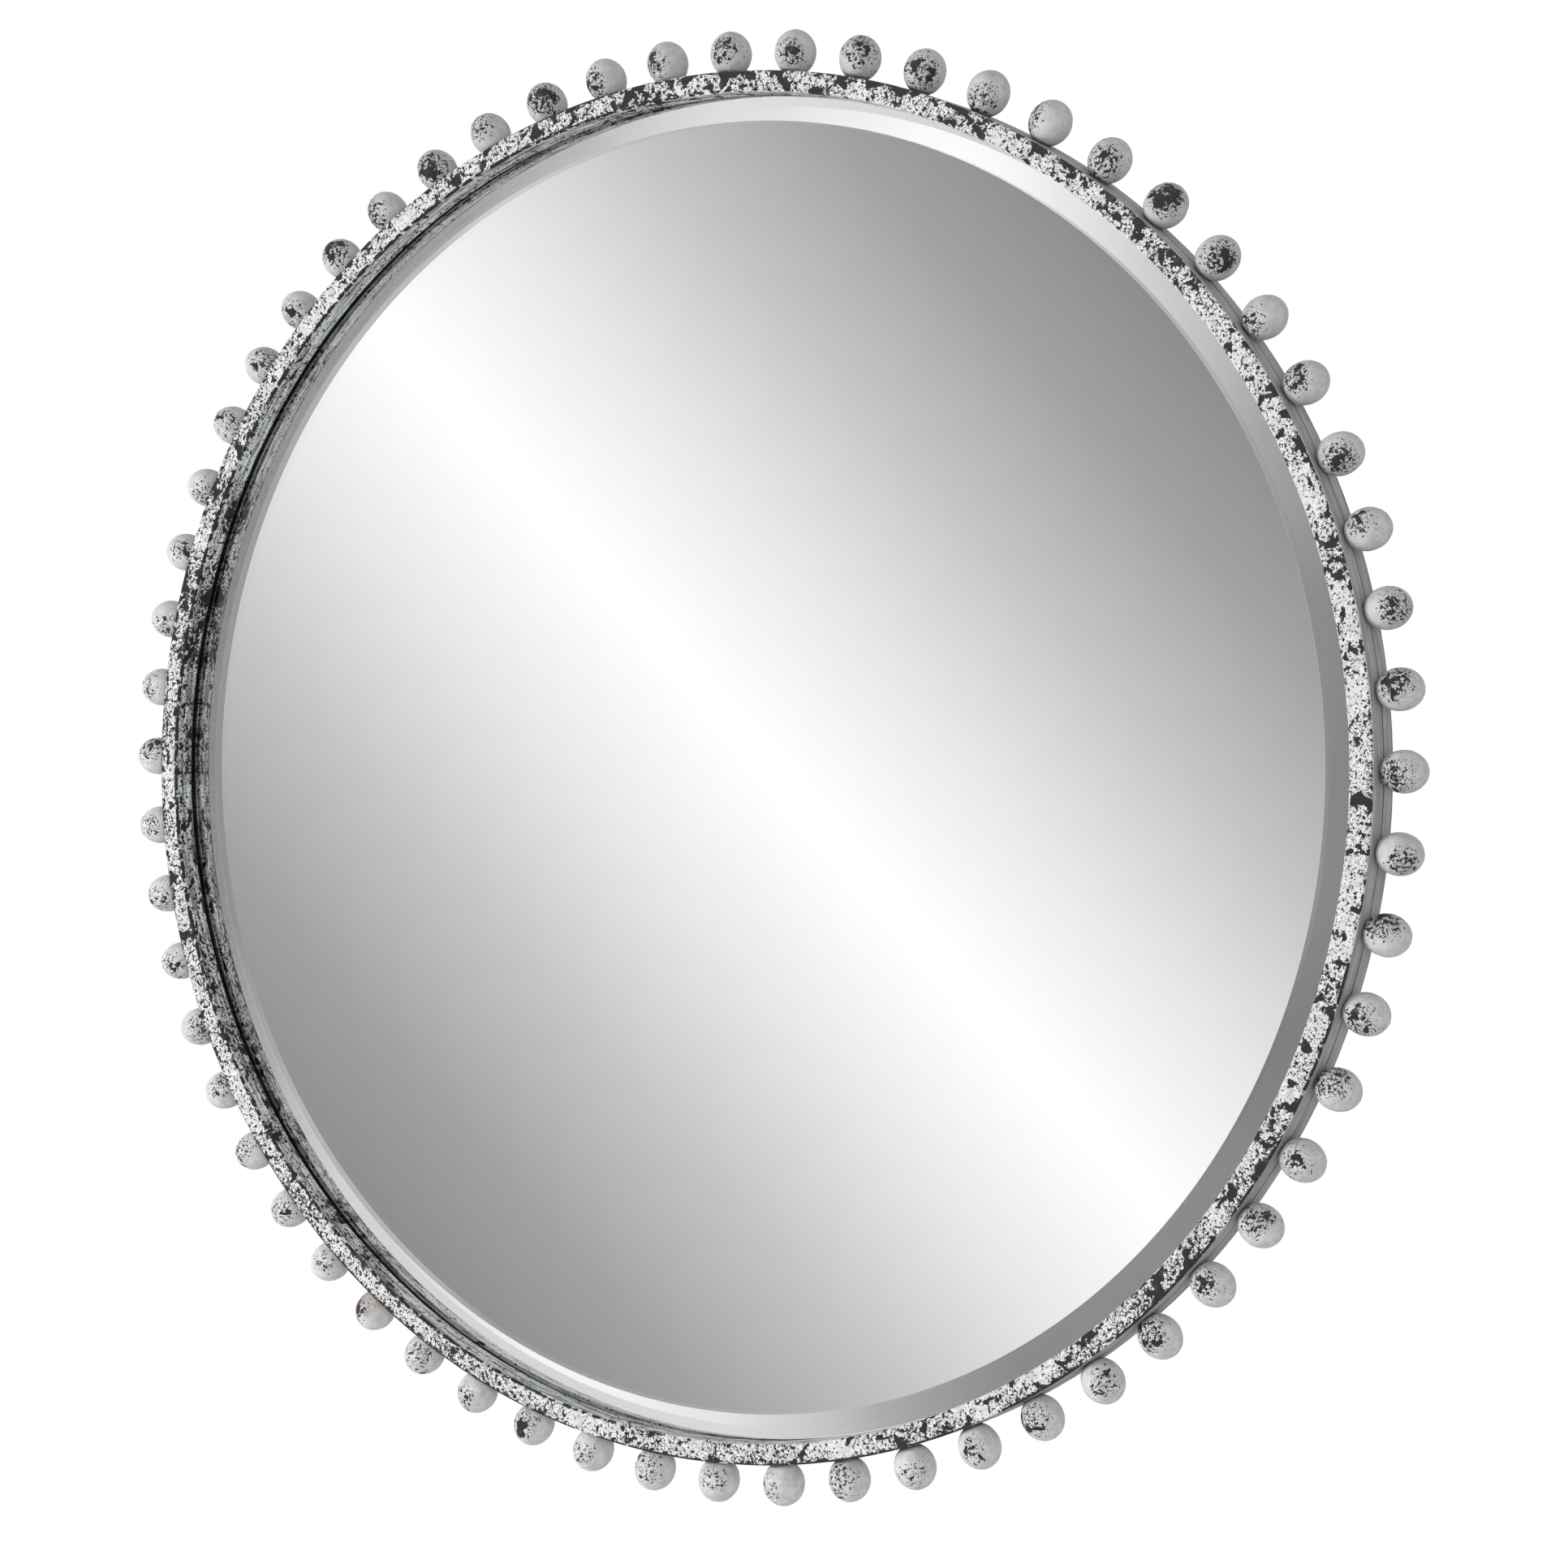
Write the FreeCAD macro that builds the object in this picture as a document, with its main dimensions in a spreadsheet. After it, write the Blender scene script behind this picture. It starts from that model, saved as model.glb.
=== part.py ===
import FreeCAD, Part
import math
import os
import Sketcher

# Round wall mirror in an iron frame edged with beads
# Millimetres and degrees. The wall is the plane y = 0, the mirror faces -Y and +Z is up.
# The origin is where the mirror's axis meets the wall.

SIZES = {
    # Front ring: a bar rolled on edge
    "ring_outer_radius": 382.5,
    "ring_width": 12.0,
    "ring_depth": 15.0,
    "ring_inner_round": 2.0,
    "ring_outer_round": 1.5,
    # Angle ring behind it: a leg round the glass and a flange over its edge
    "angle_wall": 2.0,
    "angle_depth": 13.7,
    "angle_back_round": 0.6,
    "flange_setback": 1.5,
    # Beads and their weld feet
    "bead_diameter": 22.4,
    "bead_standoff": 1.5,
    "bead_setback": 13.4,
    "weld_toe_radius": 5.2,
    "weld_neck_radius": 4.2,
    "weld_sink": 0.6,
    # Bevelled glass, its silver and the tape on the bevel
    "glass_thickness": 5.0,
    "glass_edge": 2.2,
    "glass_clearance": 0.5,
    "bevel_width": 27.0,
    "coat_thickness": 0.2,
    "tape_thickness": 0.8,
    "tape_inset": 0.5,
    # Backing board and the tabs bent over it
    "board_thickness": 5.0,
    "board_clearance": 0.3,
    "board_edge_round": 0.8,
    "tab_thickness": 1.2,
    "tab_width": 20.0,
    "tab_reach": 16.0,
    "tab_root_gap": 0.4,
    "tab_bend": 1.0,
    # Hanger straps with a rolled barrel
    "hanger_spacing": 406.4,
    "hanger_rise": 190.0,
    "strap_width": 12.0,
    "strap_thickness": 1.25,
    "strap_length": 33.0,
    "strap_end_margin": 7.0,
    "screw_barrel_gap": 1.25,
    "screw_hole_clearance": 0.2,
    # D-rings
    "wire_diameter": 2.8,
    "wire_clearance": 0.1,
    "loop_half_width": 11.5,
    "loop_corner_radius": 3.0,
    "lean_gap": 0.3,
    # Hanger screws
    "screw_diameter": 3.5,
    "screw_grip": 4.4,
    "screw_head_radius": 3.0,
    "screw_head_height": 1.8,
    "screw_head_round": 0.9,
    "pilot_clearance": 0.05,
    # Wall bumpers
    "bumper_height": 7.0,
    "bumper_base_radius": 7.0,
    "bumper_tip_radius": 5.6,
    "bumper_round": 1.2,
    "bumper_inset": 40.0,
}

# Sizes that follow from the driving ones. Radii are from the mirror's axis, y is from the wall.
FORMULAS = {
    "ring_inner_radius": "=ring_outer_radius - ring_width",
    "leg_inner_radius": "=ring_outer_radius - angle_wall",
    "flange_inner_radius": "=ring_inner_radius + flange_setback",
    "glass_radius": "=leg_inner_radius - glass_clearance",
    "crease_radius": "=glass_radius - bevel_width",
    "board_back_y": "=-bumper_height",
    "board_front_y": "=board_back_y - board_thickness",
    "glass_back_y": "=board_front_y - coat_thickness",
    "glass_front_y": "=glass_back_y - glass_thickness",
    "glass_rim_y": "=glass_back_y - glass_edge",
    "bevel_slope": "=(glass_rim_y - glass_front_y) / bevel_width",
    "tape_inner_radius": "=flange_inner_radius + tape_inset",
    "tape_outer_radius": "=glass_radius - tape_inset",
    "tape_inner_y": "=glass_front_y + (tape_inner_radius - crease_radius) * bevel_slope",
    "tape_outer_y": "=glass_front_y + (tape_outer_radius - crease_radius) * bevel_slope",
    "flange_back_y": "=tape_inner_y - tape_thickness",
    "ring_back_y": "=flange_back_y - angle_wall",
    "ring_front_y": "=ring_back_y - ring_depth",
    "leg_back_y": "=ring_back_y + angle_depth",
    "bead_radius": "=bead_diameter / 2",
    "bead_lower": "=-bead_radius",
    "bead_centre_radius": "=ring_outer_radius + bead_standoff + bead_radius",
    "bead_tip_radius": "=bead_centre_radius + bead_radius",
    "bead_plane_y": "=ring_front_y + bead_setback",
    "weld_root_radius": "=ring_outer_radius - weld_sink",
    "weld_trim_radius": "=weld_root_radius - weld_sink",
    "weld_top_radius": "=bead_centre_radius - sqrt(bead_radius ^ 2 - weld_neck_radius ^ 2)",
    "tab_root_radius": "=leg_inner_radius - tab_thickness",
    "tab_tip_radius": "=leg_inner_radius - tab_reach",
    "tab_front_y": "=board_front_y + tab_root_gap",
    "tab_back_y": "=board_back_y + tab_thickness",
    "tab_sweep": "=2 * atan(tab_width / 2 / leg_inner_radius)",
    "board_radius": "=tab_root_radius - board_clearance",
    "hanger_half_spacing": "=hanger_spacing / 2",
    "hanger_left": "=-hanger_half_spacing",
    "wire_radius": "=wire_diameter / 2",
    "barrel_bore_radius": "=wire_radius + wire_clearance",
    "hinge_height": "=barrel_bore_radius + strap_thickness",
    "hinge_y": "=board_back_y + hinge_height",
    "strap_top_y": "=board_back_y + strap_thickness",
    "strap_half_width": "=strap_width / 2",
    "strap_left": "=-strap_half_width",
    "strap_turn": "=strap_half_width - strap_length",
    "upper_screw_drop": "=hinge_height + screw_head_radius + screw_barrel_gap",
    "lower_screw_drop": "=strap_length - strap_end_margin",
    "upper_hole": "=-upper_screw_drop",
    "lower_hole": "=-lower_screw_drop",
    "upper_screw_rise": "=hanger_rise - upper_screw_drop",
    "lower_screw_rise": "=hanger_rise - lower_screw_drop",
    "loop_flat": "=loop_half_width - loop_corner_radius",
    "loop_flat_left": "=-loop_flat",
    "loop_reach": "=loop_corner_radius + loop_half_width",
    "lean_angle": "=asin((hinge_height - wire_radius - lean_gap) / loop_reach)",
    "screw_radius": "=screw_diameter / 2",
    "screw_hole_radius": "=screw_radius + screw_hole_clearance",
    "screw_tip": "=-strap_thickness - screw_grip",
    "pilot_radius": "=screw_radius + pilot_clearance",
    "bumper_circle_radius": "=board_radius - bumper_inset",
}

# Counts of what repeats
CLOCK_HOURS = 12
BEADS_PER_HOUR = 5
TAB_COUNT = 8
BUMPER_COUNT = 4
SIDES = {"left": -1, "right": 1}

# The first bead stands a quarter of a turn after the top. The beads are set by eye, so they drift
# off an even pitch by shares of it: one swing goes once round the ring, the other twice.
FIRST_BEAD_TURN_SHARE = 0.25
ONCE_DRIFT_SHARE = -0.067
TWICE_DRIFT_SHARE = 0.035

FULL_TURN = 360.0
HALF_SHARE = 0.5
NEAR_SHARE = 1e-6
ACROSS_AXIS = FreeCAD.Vector(1, 0, 0)
DEPTH_AXIS = FreeCAD.Vector(0, 1, 0)
SKETCH_NORMAL = FreeCAD.Vector(0, 0, 1)

# Sketch terms: a coordinate of zero, the two axes, and the points of an edge
ZERO = ""
HORIZONTAL, VERTICAL = -1, -2
START, END, CENTRE = 1, 2, 3

doc = FreeCAD.newDocument("RoundMirror")
dims = doc.addObject("Spreadsheet::Sheet", "Dims")
nodes = []


def fill_sheet():
    """Puts every size in the sheet, one row each, with its name as the alias."""
    for row, (name, value) in enumerate({**SIZES, **FORMULAS}.items(), start=1):
        dims.set(f"A{row}", name)
        dims.set(f"B{row}", str(value))
        dims.setAlias(f"B{row}", name)
    doc.recompute()


def size(name):
    """The sheet's value for a name, as a plain number."""
    if name == ZERO:
        return 0.0
    value = dims.get(name)
    return float(getattr(value, "Value", value))


def spot(across, up):
    """A sketch point at two named distances."""
    return FreeCAD.Vector(size(across), size(up), 0)


def origin_feature(body, role):
    """One of a body's own origin planes or axes."""
    return next(item for item in body.Origin.OriginFeatures if item.Role == role)


def new_body(label, node=True):
    """An empty body, written out under its label if it is a node by itself."""
    body = doc.addObject("PartDesign::Body", label)
    body.Label = label
    if node:
        nodes.append(body)
    return body


def new_sketch(body, role):
    """A sketch on one of the body's origin planes."""
    sketch = body.newObject("Sketcher::SketchObject", f"{body.Name}_sketch")
    sketch.AttachmentSupport = [(origin_feature(body, role), "")]
    sketch.MapMode = "FlatFace"
    return sketch


def hold(sketch, constraint, name):
    """Adds a constraint and ties its value to the sheet."""
    index = sketch.addConstraint(constraint)
    sketch.setExpression(f"Constraints[{index}]", f"Dims.{name}")


def tie(sketch, item, point, across, up):
    """Holds a sketch point at named distances from the sketch's origin. None leaves one free."""
    for kind, axis, name in (("DistanceX", VERTICAL, across), ("DistanceY", HORIZONTAL, up)):
        if name == ZERO:
            sketch.addConstraint(Sketcher.Constraint("PointOnObject", item, point, axis))
        elif name is not None:
            hold(sketch, Sketcher.Constraint(kind, HORIZONTAL, START, item, point, size(name)), name)


def join(sketch, count):
    """Joins each of a sketch's first edges to the next, and the last to the first."""
    for index in range(count):
        following = (index + 1) % count
        sketch.addConstraint(Sketcher.Constraint("Coincident", index, END, following, START))


def outline(sketch, corners):
    """A closed outline of straight runs through corners given as pairs of named sizes."""
    spots = [spot(across, up) for across, up in corners]
    for start, end in zip(spots, spots[1:] + spots[:1]):
        sketch.addGeometry(Part.LineSegment(start, end), False)
    join(sketch, len(corners))
    for index, (across, up) in enumerate(corners):
        tie(sketch, index, START, across, up)


def arc(sketch, centre, radius, start_turn_share, end_turn_share):
    """An arc that runs against the clock between two shares of a turn."""
    whole = Part.Circle(centre, SKETCH_NORMAL, radius)
    start, end = math.tau * start_turn_share, math.tau * end_turn_share
    return sketch.addGeometry(Part.ArcOfCircle(whole, start, end), False)


def circle(sketch, across, up, radius):
    """A circle with a named place and radius."""
    item = sketch.addGeometry(Part.Circle(spot(across, up), SKETCH_NORMAL, size(radius)), False)
    tie(sketch, item, CENTRE, across, up)
    hold(sketch, Sketcher.Constraint("Radius", item, size(radius)), radius)


def revolve(body, sketch, axis="V_Axis", kind="PartDesign::Revolution"):
    """Turns a sketch right round one of its axes."""
    turned = body.newObject(kind, f"{body.Name}_turned")
    turned.Profile = sketch
    turned.ReferenceAxis = (sketch, [axis])
    turned.Angle = FULL_TURN
    return turned


def turned_body(label, corners, node=True):
    """A body turned about the depth axis from corners of radius and depth."""
    body = new_body(label, node)
    sketch = new_sketch(body, "XY_Plane")
    outline(sketch, corners)
    return body, revolve(body, sketch)


def round_rims(body, base, radius, rims):
    """Rounds the circular edges that lie at the given radii and depths."""
    doc.recompute()
    near = NEAR_SHARE * base.Shape.BoundBox.DiagonalLength
    wanted = [(size(reach), size(depth)) for reach, depth in rims]
    names = []
    for index, edge in enumerate(base.Shape.Edges, start=1):
        if not isinstance(edge.Curve, Part.Circle):
            continue
        reach, depth = edge.Curve.Radius, edge.Curve.Center.y
        if any(abs(reach - r) < near and abs(depth - y) < near for r, y in wanted):
            names.append(f"Edge{index}")
    fillet = body.newObject("PartDesign::Fillet", f"{body.Name}_round")
    fillet.Base = (base, names)
    fillet.setExpression("Radius", f"Dims.{radius}")
    return fillet


def stand_at(body, across=None, depth=None, rise=None):
    """Places a body by expressions for its position."""
    for letter, expression in (("x", across), ("y", depth), ("z", rise)):
        if expression is not None:
            body.setExpression(f"Placement.Base.{letter}", expression)


def turn_about(body, axis, expression):
    """Turns a body about an axis through its own origin by an expression in degrees."""
    body.Placement = FreeCAD.Placement(body.Placement.Base, FreeCAD.Rotation(axis, 1.0))
    body.setExpression("Placement.Rotation.Angle", expression)


# Iron frame


def front_ring():
    """The bar ring, softened on its two front edges."""
    body, bar = turned_body(
        "front_ring",
        [
            ("ring_inner_radius", "ring_front_y"),
            ("ring_outer_radius", "ring_front_y"),
            ("ring_outer_radius", "ring_back_y"),
            ("ring_inner_radius", "ring_back_y"),
        ],
    )
    inner = round_rims(body, bar, "ring_inner_round", [("ring_inner_radius", "ring_front_y")])
    round_rims(body, inner, "ring_outer_round", [("ring_outer_radius", "ring_front_y")])


def angle_ring():
    """The L-section ring: its flange is the lip over the glass, its leg the back of the outer wall."""
    body, angle = turned_body(
        "angle_ring",
        [
            ("flange_inner_radius", "ring_back_y"),
            ("ring_outer_radius", "ring_back_y"),
            ("ring_outer_radius", "leg_back_y"),
            ("leg_inner_radius", "leg_back_y"),
            ("leg_inner_radius", "flange_back_y"),
            ("flange_inner_radius", "flange_back_y"),
        ],
    )
    back_rims = [("ring_outer_radius", "leg_back_y"), ("leg_inner_radius", "leg_back_y")]
    round_rims(body, angle, "angle_back_round", back_rims)


def bead_outline(sketch):
    """Half of a bead and its weld foot, lying along the sketch's horizontal axis."""
    toe = spot("weld_root_radius", "weld_toe_radius")
    neck = spot("weld_top_radius", "weld_neck_radius")
    centre = spot("bead_centre_radius", ZERO)
    neck_turn_share = math.atan2(neck.y, neck.x - centre.x) / math.tau
    ball = arc(sketch, centre, size("bead_radius"), 0, neck_turn_share)
    foot = sketch.addGeometry(Part.LineSegment(neck, toe), False)
    root = sketch.addGeometry(Part.LineSegment(toe, spot("weld_root_radius", ZERO)), False)
    closing = sketch.addGeometry(
        Part.LineSegment(spot("weld_root_radius", ZERO), spot("bead_tip_radius", ZERO)), False
    )
    join(sketch, closing + 1)
    tie(sketch, ball, CENTRE, "bead_centre_radius", ZERO)
    tie(sketch, ball, START, "bead_tip_radius", ZERO)
    tie(sketch, foot, START, None, "weld_neck_radius")
    tie(sketch, root, START, "weld_root_radius", "weld_toe_radius")
    tie(sketch, closing, START, "weld_root_radius", ZERO)


def welded_bead():
    """One bead on its weld foot, which is seated on the frame's outer wall."""
    body = new_body("welded_bead", node=False)
    profile = new_sketch(body, "XY_Plane")
    bead_outline(profile)
    revolve(body, profile, "H_Axis")
    trim = new_sketch(body, "XY_Plane")
    outline(
        trim,
        [
            ("weld_trim_radius", "bead_lower"),
            ("ring_outer_radius", "bead_lower"),
            ("ring_outer_radius", "bead_radius"),
            ("weld_trim_radius", "bead_radius"),
        ],
    )
    revolve(body, trim, "V_Axis", "PartDesign::Groove")
    return body


def bead_turn(hour, place):
    """The angle of a bead from the first one, clockwise from the front, with its drift."""
    pitch = FULL_TURN / CLOCK_HOURS / BEADS_PER_HOUR
    even = FULL_TURN * (hour / CLOCK_HOURS - FIRST_BEAD_TURN_SHARE) + pitch * place
    once = ONCE_DRIFT_SHARE * math.cos(math.radians(even))
    twice = TWICE_DRIFT_SHARE * math.sin(math.radians(even + even))
    return even + pitch * (once + twice)


def beads_of_hour(bead, hour):
    """The run of beads from one clock hour to the next."""
    run = doc.addObject("Part::Compound", f"beads_hour_{hour:02d}")
    run.Label = run.Name
    beads = []
    for place in range(BEADS_PER_HOUR):
        seated = doc.addObject("App::Link", f"{run.Name}_bead")
        seated.setLink(bead)
        turn_about(seated, DEPTH_AXIS, f"{bead_turn(hour, place)}")
        stand_at(seated, depth="Dims.bead_plane_y")
        beads.append(seated)
    run.Links = beads
    nodes.append(run)


# Glass and what is stacked behind it


def mirror_glass():
    """The pane, with its bevel ground on the front."""
    turned_body(
        "mirror_glass",
        [
            (ZERO, "glass_front_y"),
            ("crease_radius", "glass_front_y"),
            ("glass_radius", "glass_rim_y"),
            ("glass_radius", "glass_back_y"),
            (ZERO, "glass_back_y"),
        ],
    )


def silver_coat():
    """The silver and its paint, all over the back of the pane."""
    turned_body(
        "silver_coat",
        [
            (ZERO, "glass_back_y"),
            ("glass_radius", "glass_back_y"),
            ("glass_radius", "board_front_y"),
            (ZERO, "board_front_y"),
        ],
    )


def glazing_tape():
    """The tape that fills the wedge between the flange and the bevel."""
    turned_body(
        "glazing_tape",
        [
            ("tape_inner_radius", "flange_back_y"),
            ("tape_outer_radius", "flange_back_y"),
            ("tape_outer_radius", "tape_outer_y"),
            ("tape_inner_radius", "tape_inner_y"),
        ],
    )


def backing_board():
    """The board behind the pane, drilled for the hanger screws."""
    body, disc = turned_body(
        "backing_board",
        [
            (ZERO, "board_front_y"),
            ("board_radius", "board_front_y"),
            ("board_radius", "board_back_y"),
            (ZERO, "board_back_y"),
        ],
    )
    round_rims(body, disc, "board_edge_round", [("board_radius", "board_back_y")])
    holes = new_sketch(body, "XZ_Plane")
    for across in ("hanger_left", "hanger_half_spacing"):
        for rise in ("upper_screw_rise", "lower_screw_rise"):
            circle(holes, across, rise, "pilot_radius")
    pilots = body.newObject("PartDesign::Pocket", f"{body.Name}_pilots")
    pilots.Profile = holes
    pilots.Reversed = True
    pilots.setExpression("Length", "Dims.bumper_height + Dims.screw_grip")


def retainer_tab(number):
    """A strip welded inside the leg and bent over the board."""
    body, strip = turned_body(
        f"retainer_tab_{number}",
        [
            ("leg_inner_radius", "tab_front_y"),
            ("leg_inner_radius", "tab_back_y"),
            ("tab_tip_radius", "tab_back_y"),
            ("tab_tip_radius", "board_back_y"),
            ("tab_root_radius", "board_back_y"),
            ("tab_root_radius", "tab_front_y"),
        ],
    )
    strip.Midplane = True
    strip.setExpression("Angle", "Dims.tab_sweep")
    round_rims(body, strip, "tab_bend", [("leg_inner_radius", "tab_back_y")])
    turn_about(body, DEPTH_AXIS, f"{FULL_TURN / TAB_COUNT * (number - HALF_SHARE)}")


def wall_bumper(number):
    """A rubber foot on the board that keeps the frame off the wall."""
    body, foot = turned_body(
        f"wall_bumper_{number}",
        [
            (ZERO, "board_back_y"),
            ("bumper_base_radius", "board_back_y"),
            ("bumper_tip_radius", ZERO),
            (ZERO, ZERO),
        ],
    )
    round_rims(body, foot, "bumper_round", [("bumper_tip_radius", ZERO)])
    turn = f"{FULL_TURN / BUMPER_COUNT * number} deg"
    across = f"Dims.bumper_circle_radius * cos({turn})"
    rise = f"Dims.bumper_circle_radius * sin({turn})"
    stand_at(body, across=across, rise=rise)


# Hangers, modelled about their hinge line


def stand_on_hinge(body, side):
    """Sets a hanger piece on the hinge line of one side."""
    across = f"{SIDES[side]} * Dims.hanger_half_spacing"
    stand_at(body, across, "Dims.hinge_y", "Dims.hanger_rise")


def strap_outline(sketch):
    """A strip that hangs from the hinge line to a round end, with its two screw holes."""
    top_left, top_right = spot("strap_left", ZERO), spot("strap_half_width", ZERO)
    low_left, low_right = spot("strap_left", "strap_turn"), spot("strap_half_width", "strap_turn")
    left = sketch.addGeometry(Part.LineSegment(top_left, low_left), False)
    end = arc(sketch, spot(ZERO, "strap_turn"), size("strap_half_width"), HALF_SHARE, 1)
    right = sketch.addGeometry(Part.LineSegment(low_right, top_right), False)
    top = sketch.addGeometry(Part.LineSegment(top_right, top_left), False)
    join(sketch, top + 1)
    tie(sketch, left, START, "strap_left", ZERO)
    tie(sketch, end, START, "strap_left", "strap_turn")
    tie(sketch, end, CENTRE, ZERO, "strap_turn")
    tie(sketch, right, START, None, "strap_turn")
    tie(sketch, top, START, "strap_half_width", ZERO)
    for rise in ("upper_hole", "lower_hole"):
        circle(sketch, ZERO, rise, "screw_hole_radius")


def hanger_strap(side):
    """A strip on the board whose upper end is rolled into a barrel."""
    body = new_body(f"{side}_hanger_strap")
    strip_sketch = new_sketch(body, "XZ_Plane")
    strap_outline(strip_sketch)
    strip_sketch.setExpression("AttachmentOffset.Base.z", "Dims.hinge_height - Dims.strap_thickness")
    strip = body.newObject("PartDesign::Pad", f"{body.Name}_strip")
    strip.Profile = strip_sketch
    strip.setExpression("Length", "Dims.strap_thickness")
    barrel_sketch = new_sketch(body, "YZ_Plane")
    circle(barrel_sketch, ZERO, ZERO, "hinge_height")
    circle(barrel_sketch, ZERO, ZERO, "barrel_bore_radius")
    barrel = body.newObject("PartDesign::Pad", f"{body.Name}_barrel")
    barrel.Profile = barrel_sketch
    barrel.SideType = "Symmetric"
    barrel.setExpression("Length", "Dims.strap_width")
    stand_on_hinge(body, side)


def loop_outline(sketch):
    """A D: a bar along the hinge line, two bent corners and a half circle over them."""
    quarter_share = HALF_SHARE * HALF_SHARE
    corner = size("loop_corner_radius")
    middle, bar_right = spot(ZERO, ZERO), spot("loop_flat", ZERO)
    bar_left = spot("loop_flat_left", ZERO)
    sketch.addGeometry(Part.LineSegment(middle, bar_right), False)
    right = arc(sketch, spot("loop_flat", "loop_corner_radius"), corner, 1 - quarter_share, 1)
    crown = arc(sketch, spot(ZERO, "loop_corner_radius"), size("loop_half_width"), 0, HALF_SHARE)
    left_corner = spot("loop_flat_left", "loop_corner_radius")
    left = arc(sketch, left_corner, corner, HALF_SHARE, 1 - quarter_share)
    closing = sketch.addGeometry(Part.LineSegment(bar_left, middle), False)
    join(sketch, closing + 1)
    tie(sketch, 0, START, ZERO, ZERO)
    tie(sketch, right, START, "loop_flat", ZERO)
    tie(sketch, right, CENTRE, "loop_flat", "loop_corner_radius")
    tie(sketch, crown, START, None, "loop_corner_radius")
    tie(sketch, crown, CENTRE, ZERO, "loop_corner_radius")
    tie(sketch, left, START, None, "loop_corner_radius")
    tie(sketch, left, CENTRE, "loop_flat_left", "loop_corner_radius")
    tie(sketch, closing, START, "loop_flat_left", None)


def d_ring(side):
    """A wire loop that swings in the barrel. It stands up, leaning on the board, as on its wall hook."""
    body = new_body(f"{side}_d_ring")
    path = new_sketch(body, "XZ_Plane")
    loop_outline(path)
    section = new_sketch(body, "YZ_Plane")
    circle(section, ZERO, ZERO, "wire_radius")
    doc.recompute()
    wire = body.newObject("PartDesign::AdditivePipe", f"{body.Name}_wire")
    wire.Profile = section
    wire.Spine = (path, [f"Edge{index}" for index in range(1, len(path.Shape.Edges) + 1)])
    turn_about(body, ACROSS_AXIS, "Dims.lean_angle")
    stand_on_hinge(body, side)


def hanger_screws():
    """The pan-head screws of both straps, as one group."""
    group = doc.addObject("Part::Compound", "hanger_screws")
    group.Label = "hanger_screws"
    screws = []
    for side, sign in SIDES.items():
        for place in ("upper", "lower"):
            body, screw = turned_body(
                f"{side}_{place}_screw",
                [
                    (ZERO, "screw_tip"),
                    ("screw_radius", "screw_tip"),
                    ("screw_radius", ZERO),
                    ("screw_head_radius", ZERO),
                    ("screw_head_radius", "screw_head_height"),
                    (ZERO, "screw_head_height"),
                ],
                node=False,
            )
            round_rims(body, screw, "screw_head_round", [("screw_head_radius", "screw_head_height")])
            across = f"{sign} * Dims.hanger_half_spacing"
            stand_at(body, across, "Dims.strap_top_y", f"Dims.{place}_screw_rise")
            screws.append(body)
    group.Links = screws
    nodes.append(group)


def check_document():
    """Stops if any object failed or any node isn't a whole solid."""
    for item in doc.Objects:
        if "Invalid" in item.State or "Error" in item.State:
            raise RuntimeError(f"{item.Label} failed: {item.State}")
    for node in nodes:
        if node.Shape.isNull() or not node.Shape.isValid() or not node.Shape.Solids:
            raise RuntimeError(f"{node.Label} has no valid solid")


def write_parts():
    """Writes each node's shape to a file of its own."""
    os.makedirs("parts", exist_ok=True)
    for node in nodes:
        node.Shape.exportStep(f"parts/{node.Label}.step")
        solids = len(node.Shape.Solids)
        print(f"{node.Label}: {solids} solid(s), {node.Shape.Volume:.1f} cubic mm")


fill_sheet()
front_ring()
angle_ring()
seated_bead = welded_bead()
for clock_hour in range(1, CLOCK_HOURS + 1):
    beads_of_hour(seated_bead, clock_hour)
mirror_glass()
silver_coat()
glazing_tape()
backing_board()
for tab_number in range(1, TAB_COUNT + 1):
    retainer_tab(tab_number)
for bumper_number in range(1, BUMPER_COUNT + 1):
    wall_bumper(bumper_number)
for hanger_side in SIDES:
    hanger_strap(hanger_side)
    d_ring(hanger_side)
hanger_screws()
doc.recompute()
check_document()
write_parts()
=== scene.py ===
import math
import random

import bpy
from mathutils import Matrix, Vector, noise


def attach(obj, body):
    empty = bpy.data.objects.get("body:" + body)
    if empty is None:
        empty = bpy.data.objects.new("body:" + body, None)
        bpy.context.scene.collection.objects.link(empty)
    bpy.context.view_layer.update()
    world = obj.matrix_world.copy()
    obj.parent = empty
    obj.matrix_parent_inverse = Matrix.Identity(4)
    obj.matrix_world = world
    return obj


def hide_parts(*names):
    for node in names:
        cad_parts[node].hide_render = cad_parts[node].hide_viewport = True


# Round mirror in a beaded iron frame. Metres. The mirror faces -Y, the wall is y = 0, +Z is up.
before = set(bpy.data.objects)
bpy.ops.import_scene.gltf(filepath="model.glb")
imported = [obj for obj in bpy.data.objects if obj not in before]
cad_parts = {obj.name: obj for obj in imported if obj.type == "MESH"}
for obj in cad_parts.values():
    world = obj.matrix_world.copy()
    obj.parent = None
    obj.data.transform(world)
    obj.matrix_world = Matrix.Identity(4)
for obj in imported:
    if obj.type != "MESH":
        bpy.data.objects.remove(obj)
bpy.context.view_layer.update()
MM = 0.001

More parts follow.
